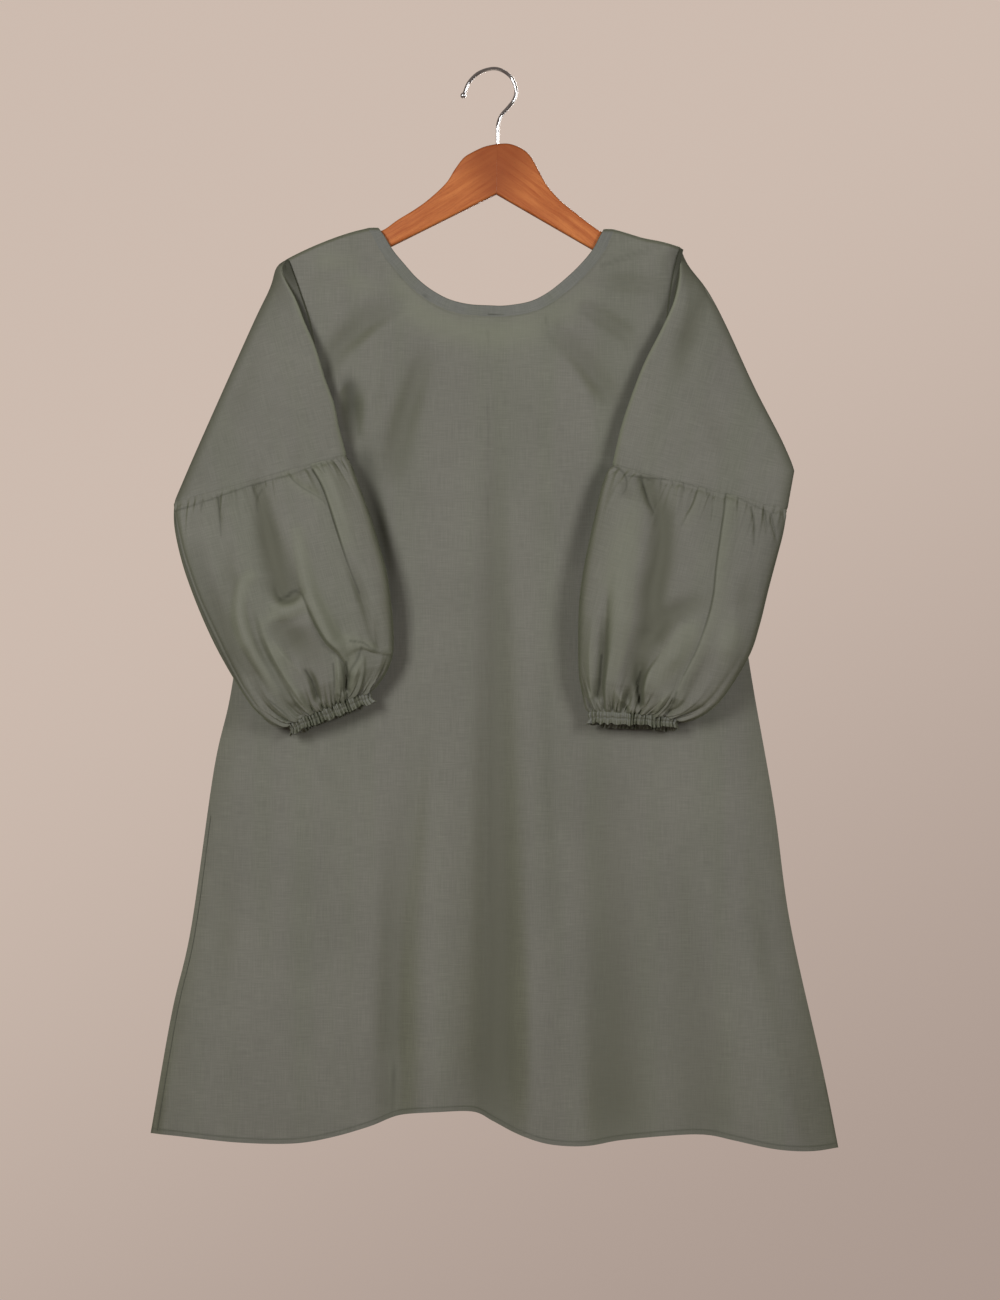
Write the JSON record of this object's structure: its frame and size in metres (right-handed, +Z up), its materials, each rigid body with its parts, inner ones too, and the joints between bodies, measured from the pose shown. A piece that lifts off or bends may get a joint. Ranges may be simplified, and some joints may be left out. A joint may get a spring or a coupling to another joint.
{
  "type": "tunic top and hanger",
  "caption": "A-line tunic top with a scoop neck and gathered balloon sleeves ending in ruffled elastic cuffs, hung on a flat wooden hanger by its wire hook.",
  "frame": {"origin": "under the crown of the hanger's hook, where the hook bears on what holds it", "axes": "+Z up along the length of the tunic, -Y towards the front of the tunic, +X to the right as seen from the front"},
  "size_m": [0.715, 0.0942, 1.1255],
  "materials": {
    "front_cloth": "plain woven cotton, sage grey-green, matt",
    "back_cloth": "plain woven cotton, sage grey-green, matt",
    "sleeve_cloth": "plain woven cotton, sage grey-green, matt",
    "cuff_cloth": "plain woven cotton gathered on elastic, matt",
    "binding_cloth": "plain woven cotton bias strip, matt",
    "varnished_wood": "orange-brown varnished wood, satin",
    "chrome_wire": "polished"
  },
  "bodies": {
    "root": {"front": "front_cloth", "back": "back_cloth", "neck_binding_front": "binding_cloth", "neck_binding_back": "binding_cloth", "upper_sleeve_left": "sleeve_cloth", "upper_sleeve_right": "sleeve_cloth", "lower_sleeve_left": "sleeve_cloth", "lower_sleeve_right": "sleeve_cloth", "cuff_left": "cuff_cloth", "cuff_right": "cuff_cloth", "hanger_left": "varnished_wood", "hanger_right": "varnished_wood", "hook": "chrome_wire"}
  },
  "joints": []
}
